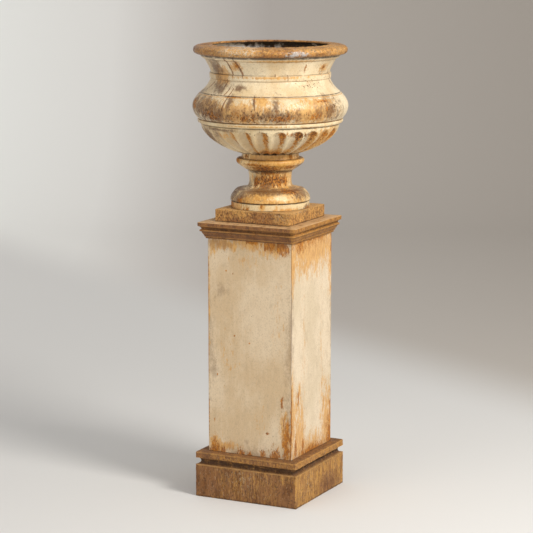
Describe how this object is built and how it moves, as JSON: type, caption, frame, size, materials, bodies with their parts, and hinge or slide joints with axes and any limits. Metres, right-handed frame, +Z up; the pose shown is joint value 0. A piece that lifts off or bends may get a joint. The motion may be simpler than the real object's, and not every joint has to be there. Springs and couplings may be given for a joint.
{
  "type": "garden urn on pedestal",
  "caption": "Round lidless urn with a rolled rim, fluted bowl and waisted foot, standing loose on a tall square pedestal with cornice and stepped base; painted cast iron, heavily rusted.",
  "frame": {"origin": "centre of the pedestal's underside, on the floor", "axes": "+Z up along the urn's axis; -Y is the front panel of the pedestal, +X its right panel"},
  "size_m": [0.468, 0.468, 1.372],
  "materials": {
    "panel_paint": "chalky cream paint, mottled, with ochre rust runs at the top and foot",
    "bowl_paint": "worn cream paint with ochre and brown rust bloom",
    "ring_paint": "cream paint, brown rust on part of the edge",
    "stem_paint": "cream paint almost wholly stained golden ochre and dark brown",
    "rim_rust": "gold-brown and dark-brown rust with one worn grey patch",
    "base_rust": "dense dark-brown and ochre rust with vertical runs",
    "cornice_rust": "dark-brown rust, ochre along the edges, dusty on top",
    "plinth_rust": "brown rust with vertical ochre runs",
    "hidden_iron": "dark rusted rolled iron",
    "fastener_steel": "dull steel with rust"
  },
  "bodies": {
    "pedestal": {"plinth_block": "plinth_rust", "base_slab": "plinth_rust", "cornice": "cornice_rust", "panel_front": "panel_paint", "panel_right": "panel_paint", "panel_back": "panel_paint", "panel_left": "panel_paint", "corner_angle_1": "hidden_iron", "corner_angle_2": "hidden_iron", "corner_angle_3": "hidden_iron", "corner_angle_4": "hidden_iron", "panel_screw_front_1": "fastener_steel", "panel_screw_front_2": "fastener_steel", "panel_screw_front_3": "fastener_steel", "panel_screw_front_4": "fastener_steel", "panel_screw_right_1": "fastener_steel", "panel_screw_right_2": "fastener_steel", "panel_screw_right_3": "fastener_steel", "panel_screw_right_4": "fastener_steel", "panel_screw_back_1": "fastener_steel", "panel_screw_back_2": "fastener_steel", "panel_screw_back_3": "fastener_steel", "panel_screw_back_4": "fastener_steel", "panel_screw_left_1": "fastener_steel", "panel_screw_left_2": "fastener_steel", "panel_screw_left_3": "fastener_steel", "panel_screw_left_4": "fastener_steel", "tie_bolt_1": "fastener_steel", "tie_bolt_2": "fastener_steel", "tie_bolt_3": "fastener_steel", "tie_bolt_4": "fastener_steel", "tie_nut_1": "fastener_steel", "tie_nut_2": "fastener_steel", "tie_nut_3": "fastener_steel", "tie_nut_4": "fastener_steel"},
    "urn": {"urn_base": "base_rust", "foot_disc": "ring_paint", "socle": "stem_paint", "stem_collar": "stem_paint", "lower_bowl": "bowl_paint", "upper_bowl": "bowl_paint", "rim_ring": "rim_rust", "bowl_washer": "fastener_steel", "base_washer": "fastener_steel", "centre_bolt": "fastener_steel", "centre_nut": "fastener_steel", "flange_bolt_1": "fastener_steel", "flange_bolt_2": "fastener_steel", "flange_bolt_3": "fastener_steel", "flange_bolt_4": "fastener_steel", "flange_nut_1": "fastener_steel", "flange_nut_2": "fastener_steel", "flange_nut_3": "fastener_steel", "flange_nut_4": "fastener_steel"}
  },
  "joints": [
    {"name": "urn_lift", "type": "slide", "parent": "pedestal", "child": "urn", "axis": [0, 0, 1], "range_m": [0, 0.15]}
  ]
}
